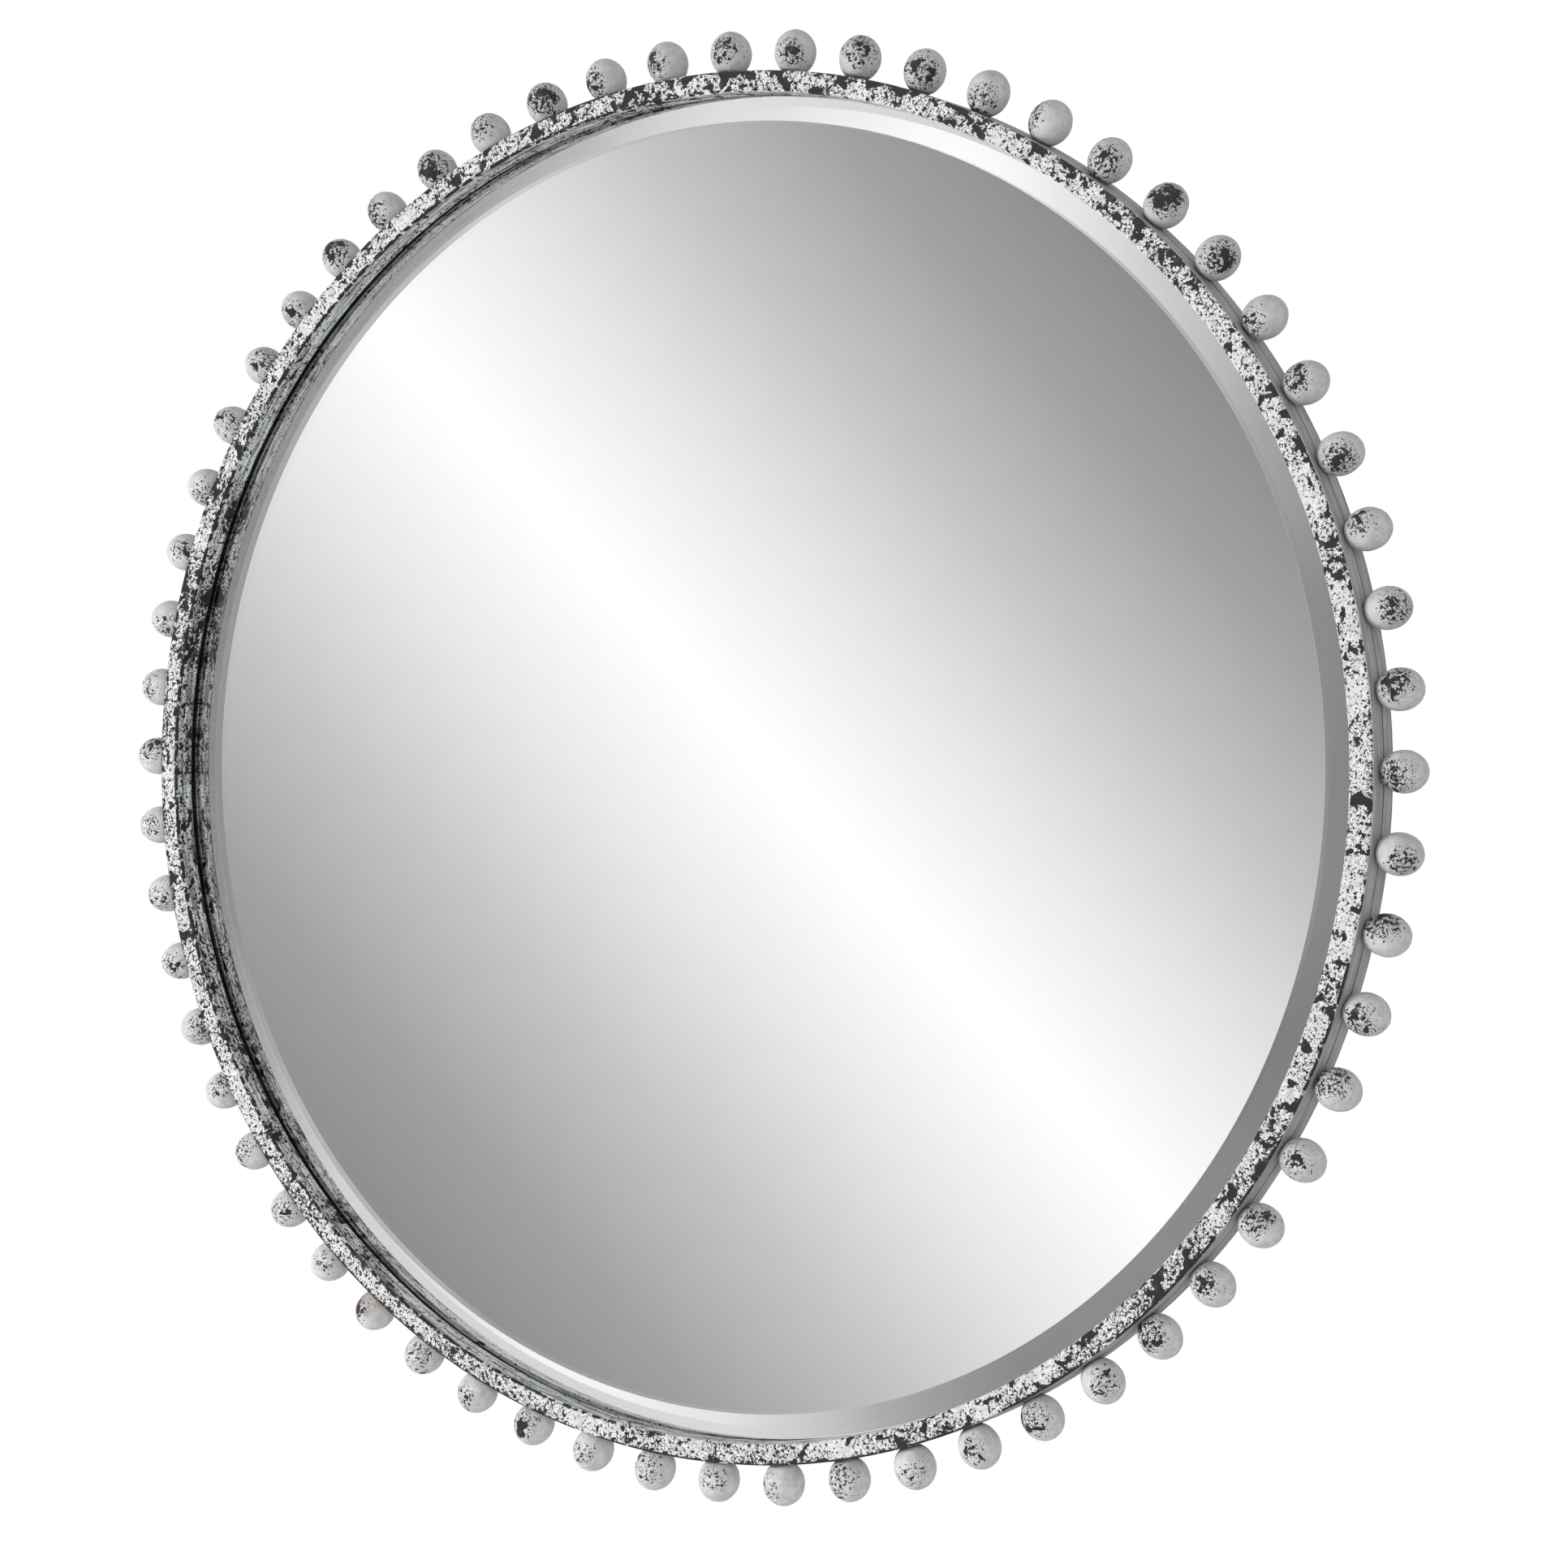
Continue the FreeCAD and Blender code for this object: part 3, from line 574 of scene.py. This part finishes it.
def plain_worn(name, dark, light, scale, roughness, metallic=0.0, bump_mm=0.1):
    """A material of two close tones with a fine uneven surface."""
    n = Nodes(name)
    fine = n.noise(scale * 6.0, 3.0, 0.6)
    tone = n.linear(fine, 0.4, n.times(n.noise(scale, 5.0, 0.6), 0.6))
    n.bump(tone, 0.6, bump_mm)
    colour = n.mix(n.step(tone, 0.3, 0.7), dark, light)
    return n.finish(colour, n.linear(fine, 0.25, roughness), metallic)


RING_PAINT = ring_paint()
BEAD_PAINT = bead_paint()
PANE = pane_glass()
SILVER = silver_with_painted_reflection()
TAPE = plain_worn("foam_tape", (0.012, 0.012, 0.012), (0.03, 0.03, 0.03), 900.0, 0.7)
BOARD = plain_worn("hardboard", (0.10, 0.055, 0.03), (0.19, 0.115, 0.065), 160.0, 0.6)
TAB_STEEL = plain_worn("tab_steel", (0.28, 0.28, 0.29), (0.48, 0.48, 0.49), 120.0, 0.35, 0.9)
ZINC = plain_worn("zinc_plate", (0.45, 0.45, 0.44), (0.66, 0.66, 0.64), 200.0, 0.25, 0.95, 0.05)
RUBBER = plain_worn("bumper_rubber", (0.015, 0.015, 0.015), (0.04, 0.04, 0.04), 500.0, 0.65)
FLOOR = plain_worn("pale_floor", (0.80, 0.80, 0.80), (0.84, 0.84, 0.84), 4.0, 0.6, 0.0, 0.02)


# Iron frame

SEAM_ROUND, BACK_ROUND = 0.8, 0.6


def ring_piece(name, profile, node, swell=0.0):
    """A ring of the frame, swept from its closed profile."""
    faces = grid_faces(len(profile), RING_SEGMENTS, True)
    piece(name, swept_ring(profile, swell), faces, RING_PAINT, node)


def front_ring():
    """The bar ring with its two rounded front edges."""
    inner, outer, seam = INNER_ROUND, OUTER_ROUND, SEAM_ROUND
    profile = corner((RING_INNER + inner, RING_FRONT + inner), inner, 180.0, 270.0, 8)
    profile += run((RING_INNER + inner, RING_FRONT), (RING_OUTER - outer, RING_FRONT), 9)
    profile += corner((RING_OUTER - outer, RING_FRONT + outer), outer, 270.0, 360.0, 6)
    profile += run((RING_OUTER, RING_FRONT + outer), (RING_OUTER, RING_BACK - seam), 9)
    profile += corner((RING_OUTER - seam, RING_BACK - seam), seam, 0.0, 90.0, 4)
    profile += run((RING_OUTER - seam, RING_BACK), (RING_INNER + seam, RING_BACK), 3)
    profile += corner((RING_INNER + seam, RING_BACK - seam), seam, 90.0, 180.0, 4)
    profile += run((RING_INNER, RING_BACK - seam), (RING_INNER, RING_FRONT + inner), 8)
    ring_piece("front_ring_iron", profile, "front_ring", BAR_SWELL)


def angle_ring():
    """The L-section ring behind it."""
    seam, back = SEAM_ROUND, BACK_ROUND
    profile = corner((RING_OUTER - seam, RING_BACK + seam), seam, 270.0, 360.0, 4)
    profile += run((RING_OUTER, RING_BACK + seam), (RING_OUTER, LEG_BACK - back), 8)
    profile += corner((RING_OUTER - back, LEG_BACK - back), back, 0.0, 90.0, 4)
    profile += corner((LEG_INNER + back, LEG_BACK - back), back, 90.0, 180.0, 4)
    profile += run((LEG_INNER, LEG_BACK - back), (LEG_INNER, FLANGE_BACK), 5)
    profile += [(LEG_INNER, FLANGE_BACK)]
    profile += run((LEG_INNER, FLANGE_BACK), (FLANGE_INNER + seam, FLANGE_BACK), 4)
    profile += corner((FLANGE_INNER + seam, FLANGE_BACK - seam), seam, 90.0, 180.0, 4)
    profile += corner((FLANGE_INNER + seam, RING_BACK + seam), seam, 180.0, 270.0, 4)
    profile += run((FLANGE_INNER + seam, RING_BACK), (RING_OUTER - seam, RING_BACK), 4)
    ring_piece("angle_ring_iron", profile, "angle_ring")


# Beads

BEAD_ROWS, BEAD_COLUMNS, WELD_ROWS = 34, 56, 6
BEAD_MIDDLE, BEAD_STRETCH = BEAD_CENTRE + BEAD_SHIFT, BEAD_DEEP / BEAD_RADIUS
BEAD_RIPPLES = ((0.22, 0.5, 0.0), (0.09, 0.16, 5.0))
NECK_TURN = math.pi - math.asin(WELD_NECK / BEAD_RADIUS)
NECK_REACH = BEAD_MIDDLE + BEAD_INWARD * math.cos(NECK_TURN)
TIP_SUNK = 0.2
WELD_LUMPS, WELD_LUMP_SCALE, WELD_SUNK, WELD_CURVE = 0.9, 0.6, 0.35, 0.8
FLATS, FLAT_LEVELS, FLAT_FACING, FLAT_SOFT = 7, (0.968, 0.995), 0.5, 0.004
PATCH_LEAN, PATCH_SPREAD_DEG, PATCH_SOFT = 0.35, (62.0, 98.0), 0.75


def bead_turn(hour, place):
    """A bead's angle, clockwise from the right as seen from the front, in radians."""
    even = 360.0 * (hour / HOURS - 0.25) + BEAD_PITCH * place
    once = ONCE_DRIFT * math.cos(math.radians(even))
    twice = TWICE_DRIFT * math.sin(math.radians(2 * even))
    return math.radians(even + BEAD_PITCH * (once + twice))


def weld_foot(seed):
    """Vertices of the lumpy weld, from the ring's wall up to the bead's neck."""
    verts = []
    for row in range(WELD_ROWS):
        share = row / WELD_ROWS
        for turn in turns(BEAD_COLUMNS):
            lump = ripple(math.cos(turn), math.sin(turn), share, WELD_LUMP_SCALE, seed) - 0.5
            radius = WELD_NECK + (WELD_TOE - WELD_NECK) * (1 - share) ** 2
            radius += WELD_LUMPS * lump * (1 - share)
            wall = math.sqrt(RING_OUTER ** 2 - (radius * math.cos(turn)) ** 2) - WELD_SUNK
            reach = wall + (NECK_REACH - wall) * share ** WELD_CURVE
            verts.append((reach, radius * math.sin(turn) * BEAD_STRETCH, radius * math.cos(turn)))
    return verts


def forged_ball(flats, seed):
    """Vertices of a bead from its neck to its tip, rippled and hammered to small flats."""
    verts = []
    for row in range(BEAD_ROWS):
        polar = NECK_TURN * (1 - row / BEAD_ROWS)
        for turn in turns(BEAD_COLUMNS):
            way = Vector((math.cos(polar), math.sin(polar) * math.sin(turn),
                          math.sin(polar) * math.cos(turn)))
            radius = BEAD_RADIUS
            for deep, scale, apart in BEAD_RIPPLES:
                radius -= deep * ripple(*way, scale, seed + apart)
            for direction, level in flats:
                facing = way.dot(direction)
                if facing > FLAT_FACING:
                    over = radius - BEAD_RADIUS * level / facing
                    radius -= 0.5 * (over + math.sqrt(over * over + FLAT_SOFT))
            drawn = (BEAD_INWARD if way.x < 0 else BEAD_OUTWARD) / BEAD_RADIUS
            verts.append((BEAD_MIDDLE + radius * way.x * drawn, radius * way.y * BEAD_STRETCH,
                          radius * way.z))
    return verts


def chipped(vert, bare, spread):
    """How chipped a bead is at a vertex, from 0 to 1, round the direction in which it is bare."""
    off = math.degrees((Vector(vert) - Vector((BEAD_MIDDLE, 0, 0))).angle(bare))
    share = unit((spread - off) / (PATCH_SOFT * spread))
    return share * share * (3.0 - 2.0 * share)


def bead_mesh(number):
    """One forged bead on its weld foot, along the local X axis, and how chipped it is."""
    rng = random.Random(number)
    flats = []
    for _ in range(FLATS):
        direction = Vector((rng.gauss(0, 1), rng.gauss(0, 1), rng.gauss(0, 1))).normalized()
        flats.append((direction, rng.uniform(*FLAT_LEVELS)))
    seed = rng.uniform(0, 90)
    bare = Vector((rng.gauss(0, PATCH_LEAN), -1.0, rng.gauss(0, PATCH_LEAN))).normalized()
    spread = rng.uniform(*PATCH_SPREAD_DEG)
    verts = weld_foot(seed) + forged_ball(flats, seed)
    faces = grid_faces(WELD_ROWS + BEAD_ROWS, BEAD_COLUMNS)
    last, tip = len(verts) - BEAD_COLUMNS, len(verts)
    verts.append((BEAD_MIDDLE + BEAD_OUTWARD - TIP_SUNK, 0.0, 0.0))
    faces += [(last + c, tip, last + (c + 1) % BEAD_COLUMNS) for c in range(BEAD_COLUMNS)]
    faces.append(tuple(range(BEAD_COLUMNS)))
    return verts, faces, [chipped(vert, bare, spread) for vert in verts]


def beads():
    """Twelve runs of five beads."""
    for hour in range(1, HOURS + 1):
        verts, faces, patches = [], [], []
        for place in range(BEADS_PER_HOUR):
            turn = bead_turn(hour, place)
            one, rings, patch = bead_mesh(hour * BEADS_PER_HOUR + place)
            turned = [(x * math.cos(turn) + z * math.sin(turn), BEAD_PLANE + y,
                       z * math.cos(turn) - x * math.sin(turn)) for x, y, z in one]
            add_mesh(verts, faces, turned, rings)
            patches += patch
        piece(f"beads_iron_{hour:02d}", verts, faces, BEAD_PAINT,
              f"beads_hour_{hour:02d}", patch=patches)


# Pane

PANE_SEGMENTS, PANE_SHARP_DEG = 360, 2.5
BEVEL_SHARES = (0.0, 0.35, 0.7, 1.0)
PANE_EDGE, SILVER_OVERLAP = 0.25, 0.05


def pane():
    """The bevelled pane. Its back lies just in the silver, so light meets that in the glass."""
    verts = []
    for share in BEVEL_SHARES:
        for turn in turns(PANE_SEGMENTS):
            crease = CREASE_RADIUS + CREASE_RISE * math.sin(turn) ** 2 - CREASE_DIP * at_right(turn)
            radius = crease + (GLASS_RADIUS - PANE_EDGE - crease) * share
            slope = (GLASS_RIM - GLASS_FRONT) / (GLASS_RADIUS - crease)
            front = GLASS_FRONT + (radius - crease) * slope
            verts.append((radius * math.cos(turn), front, radius * math.sin(turn)))
    for depth in (GLASS_RIM + PANE_EDGE, GLASS_BACK + SILVER_OVERLAP):
        verts += circle(GLASS_RADIUS, depth, PANE_SEGMENTS)
    faces = grid_faces(len(verts) // PANE_SEGMENTS, PANE_SEGMENTS)
    faces.append(tuple(range(PANE_SEGMENTS)))
    last = len(verts) - PANE_SEGMENTS
    faces.append(tuple(last + s for s in reversed(range(PANE_SEGMENTS))))
    piece("bevelled_pane", verts, faces, PANE, "mirror_glass", PANE_SHARP_DEG)


# Hanger screws

SCREW_HEAD, SCREW_HEIGHT, SCREW_ROUND, SCREW_SHANK = 3.0, 1.8, 0.9, 1.75
SCREW_SEAT, SCREW_TIP, SCREW_POINT = -5.75, -11.4, 1.0
SCREW_RINGS, SCREW_SEGMENTS = 20, 96
HANGER_SIDE, HANGER_RISE, SCREW_DROPS = 203.2, 190.0, (7.0, 26.0)
FIRST_DRIVE, NEXT_DRIVE = 0.3, 1.1
CROSS_HALF, CROSS_REACH, CROSS_DEPTH, CROSS_TAPER = 0.52, 1.75, 1.15, 0.4
CROSS_SIDE_RUN, CROSS_END_RUN = 0.12, 0.2


def cross_recess(u, v, turn):
    """How deep the driver's cross lies under a screw head's top."""
    along = u * math.cos(turn) + v * math.sin(turn)
    beside = v * math.cos(turn) - u * math.sin(turn)
    narrow, long = sorted((abs(along), abs(beside)))
    in_width = unit((CROSS_HALF - narrow) / CROSS_SIDE_RUN)
    in_reach = unit((CROSS_REACH - long) / CROSS_END_RUN)
    return in_width * in_reach * (CROSS_DEPTH - CROSS_TAPER * long)


def screw_mesh(turn):
    """A pan-head screw standing along +Y, with its seat at zero."""
    tip = SCREW_TIP - SCREW_SEAT
    verts = []
    for ring in range(SCREW_RINGS + 1):
        radius = SCREW_HEAD * (ring + 0.5) / (SCREW_RINGS + 0.5)
        over = max(0.0, radius - (SCREW_HEAD - SCREW_ROUND))
        top = SCREW_HEIGHT - SCREW_ROUND + math.sqrt(max(0.0, SCREW_ROUND ** 2 - over ** 2))
        verts += [(u, height - cross_recess(u, v, turn), v)
                  for u, height, v in circle(radius, top, SCREW_SEGMENTS)]
    for radius, height in ((SCREW_HEAD, 0.0), (SCREW_SHANK, 0.0), (SCREW_SHANK, tip + SCREW_POINT)):
        verts += circle(radius, height, SCREW_SEGMENTS)
    grid = grid_faces(len(verts) // SCREW_SEGMENTS, SCREW_SEGMENTS)
    faces = [tuple(reversed(face)) for face in grid]
    faces.append(tuple(range(SCREW_SEGMENTS)))
    last, end = len(verts) - SCREW_SEGMENTS, len(verts)
    verts.append((0.0, tip, 0.0))
    faces += [(last + s, last + (s + 1) % SCREW_SEGMENTS, end) for s in range(SCREW_SEGMENTS)]
    return verts, faces


def screws():
    """The four hanger screws, each driven home at an angle of its own."""
    verts, faces = [], []
    places = [(side * HANGER_SIDE, HANGER_RISE - drop) for side in (-1, 1) for drop in SCREW_DROPS]
    for number, (x, z) in enumerate(places):
        one, rings = screw_mesh(FIRST_DRIVE + NEXT_DRIVE * number)
        add_mesh(verts, faces, [(x + a, SCREW_SEAT + b, z + c) for a, b, c in one], rings)
    piece("hanger_screws_zinc", verts, faces, ZINC, "hanger_screws")


front_ring()
angle_ring()
beads()
pane()
screws()

# CAD meshes that stay as they are, each with a material
KEPT = {
    "silver_coat": SILVER,
    "glazing_tape": TAPE,
    "backing_board": BOARD,
    "left_hanger_strap": ZINC,
    "right_hanger_strap": ZINC,
    "left_d_ring": ZINC,
    "right_d_ring": ZINC,
}
KEPT.update({f"retainer_tab_{n}": TAB_STEEL for n in range(1, 9)})
KEPT.update({f"wall_bumper_{n}": RUBBER for n in range(1, 5)})
for node, material in KEPT.items():
    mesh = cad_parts[node].data
    mesh.materials.clear()
    mesh.materials.append(material)


# Studio

# The photograph's camera, fitted to the places of the beads: a focal length and centre in pixels
PHOTO_AZIMUTH, PHOTO_ELEVATION, PHOTO_ROLL = (math.radians(a) for a in (29.92, 0.503, 0.484))
PHOTO_DISTANCE = 5.4604 * BEAD_CENTRE * MM
PHOTO_WIDTH, PHOTO_FOCAL, PHOTO_CENTRE = 1932.0, 4809.9, (893.48, 946.32)
SENSOR_WIDTH = 36.0
PHOTO_WAY = Vector((math.sin(PHOTO_AZIMUTH) * math.cos(PHOTO_ELEVATION),
                    -math.cos(PHOTO_AZIMUTH) * math.cos(PHOTO_ELEVATION),
                    math.sin(PHOTO_ELEVATION)))
PHOTO_EYE = Vector((0, BEAD_PLANE * MM, 0)) + PHOTO_WAY * PHOTO_DISTANCE

FLOOR_HALF, FLOOR_HEIGHT = 2.0, -1.6
CARD_HALF, CARD_DISTANCE = 4.4, 6.2

# The card's strips of light and lamps, in shares of its distance
STRIP_SLANT_DEG, STRIP_SHIFT, STRIPS_APART, STRIP_HALF, STRIP_GLOW = 42.0, -0.008, 0.37, 0.2, 1.14
STRIP_FALL = ((0.0, 1.0), (0.2, 0.79), (0.4, 0.545), (0.6, 0.352), (0.8, 0.24))
LAMP_LEAN_DEG, LOWER_LAMP, UPPER_LAMP = 70.0, 21.0, 28.0
LAMP_SPREAD = ((0.92, 0.0), (0.94, 0.08), (0.985, 0.6), (1.0, 1.0))
LAMP_INSIDE, LAMP_FULL, LAMP_CHANGE = 0.22, 0.25, 0.05

AMBIENT_COLOUR, AMBIENT_STRENGTH = (0.96, 0.98, 1.0, 1), 0.52
STUDIO_LAMP_SIZE = 1.6


def square(name, half, height, material):
    """A level square panel."""
    mesh = bpy.data.meshes.new(name)
    corners = [(-half, -half), (half, -half), (half, half), (-half, half)]
    mesh.from_pydata([(x, y, height) for x, y in corners], [], [(0, 1, 2, 3)])
    mesh.materials.append(material)
    return placed(name, mesh)


def stand(obj, axes, place):
    """Turns an object to three axes and sets it at a place."""
    matrix = Matrix(axes).transposed().to_4x4()
    matrix.translation = place
    obj.matrix_world = matrix


def light_card_material():
    """Two soft diagonal strips of light on grey, and two lamps that the bevel catches.

    The mirror shows the first strip to the photograph's camera and the second to the front."""
    n = Nodes("light_card")
    x, y, _ = n.axes()
    u, v = n.over(x, CARD_DISTANCE), n.over(y, CARD_DISTANCE)
    off = n.plus(n.along(u, v, STRIP_SLANT_DEG), STRIP_SHIFT)
    strip, second = (n.ramp(n.over(n.size(n.minus(off, aside)), STRIP_HALF), STRIP_FALL)
                     for aside in (0.0, STRIPS_APART))
    radius = n.length(u, v)
    lean = n.over(n.size(n.along(u, v, LAMP_LEAN_DEG)), radius)
    lamps = n.times(n.ramp(lean, LAMP_SPREAD), n.step(radius, LAMP_INSIDE, LAMP_FULL))
    lamps = n.times(lamps, n.step(v, -LAMP_CHANGE, LAMP_CHANGE, LOWER_LAMP, UPPER_LAMP))
    glow = n.new("ShaderNodeEmission")
    strength = n.linear(n.larger(strip, second), STRIP_GLOW, n.times(strip, lamps))
    n.feed(glow.inputs["Strength"], strength)
    n.tree.links.new(glow.outputs[0], n.tree.nodes["Material Output"].inputs["Surface"])
    return n.material


def light_card():
    """The card stands where the photograph's camera sees it in the mirror."""
    mirror_y = GLASS_BACK * MM
    image = Vector((PHOTO_EYE.x, 2 * mirror_y - PHOTO_EYE.y, PHOTO_EYE.z))
    way = (Vector((0, mirror_y, 0)) - image).normalized()
    across = (Vector((1, 0, 0)) - way * way.x).normalized()
    up = way.cross(across) if way.cross(across).z > 0 else across.cross(way)
    card = square("light_card", CARD_HALF, 0.0, light_card_material())
    stand(card, (across, up, across.cross(up)), image + way * CARD_DISTANCE)
    card.visible_camera = card.visible_diffuse = card.visible_shadow = False


def studio_world():
    """White to the eye, in reflections and through glass, a softer grey as light."""
    world = bpy.data.worlds.new("studio")
    bpy.context.scene.world = world
    world.use_nodes = True
    tree = world.node_tree
    tree.nodes.clear()
    path = tree.nodes.new("ShaderNodeLightPath")
    seen = path.outputs["Is Camera Ray"]
    for ray in ("Is Glossy Ray", "Is Transmission Ray"):
        either = tree.nodes.new("ShaderNodeMath")
        either.operation = "ADD"
        either.use_clamp = True
        tree.links.new(seen, either.inputs[0])
        tree.links.new(path.outputs[ray], either.inputs[1])
        seen = either.outputs[0]
    white, light = (tree.nodes.new("ShaderNodeBackground") for _ in range(2))
    white.inputs["Color"].default_value = (1, 1, 1, 1)
    light.inputs["Color"].default_value = AMBIENT_COLOUR
    light.inputs["Strength"].default_value = AMBIENT_STRENGTH
    mix = tree.nodes.new("ShaderNodeMixShader")
    out = tree.nodes.new("ShaderNodeOutputWorld")
    tree.links.new(seen, mix.inputs[0])
    tree.links.new(light.outputs[0], mix.inputs[1])
    tree.links.new(white.outputs[0], mix.inputs[2])
    tree.links.new(mix.outputs[0], out.inputs["Surface"])


def lamp(name, place, watts):
    """A soft square lamp that shines at the mirror's middle and isn't mirrored itself."""
    data = bpy.data.lights.new(name, "AREA")
    data.size = STUDIO_LAMP_SIZE
    data.energy = watts
    obj = placed(name, data)
    obj.location = place
    obj.rotation_mode = "QUATERNION"
    obj.rotation_quaternion = (-Vector(place)).to_track_quat("-Z", "Y")
    obj.visible_glossy = obj.visible_transmission = False


def photo_camera():
    """The camera that the beads' places in the photograph give."""
    right = Vector((0, 0, 1)).cross(PHOTO_WAY).normalized()
    up = PHOTO_WAY.cross(right)
    across = right * math.cos(PHOTO_ROLL) + up * math.sin(PHOTO_ROLL)
    upright = up * math.cos(PHOTO_ROLL) - right * math.sin(PHOTO_ROLL)
    data = bpy.data.cameras.new("camera")
    data.lens = SENSOR_WIDTH * PHOTO_FOCAL / PHOTO_WIDTH
    data.sensor_width = SENSOR_WIDTH
    data.shift_x = 0.5 - PHOTO_CENTRE[0] / PHOTO_WIDTH
    data.shift_y = PHOTO_CENTRE[1] / PHOTO_WIDTH - 0.5
    camera = placed("camera", data)
    stand(camera, (across, upright, PHOTO_WAY), PHOTO_EYE)
    bpy.context.scene.camera = camera


square("floor", FLOOR_HALF, FLOOR_HEIGHT, FLOOR)
light_card()
studio_world()
lamp("key", (-2.5, -2.3, 0.1), 100.0)
lamp("fill", (1.9, -2.6, 0.2), 40.0)
photo_camera()
bpy.context.scene.view_settings.view_transform = "Standard"
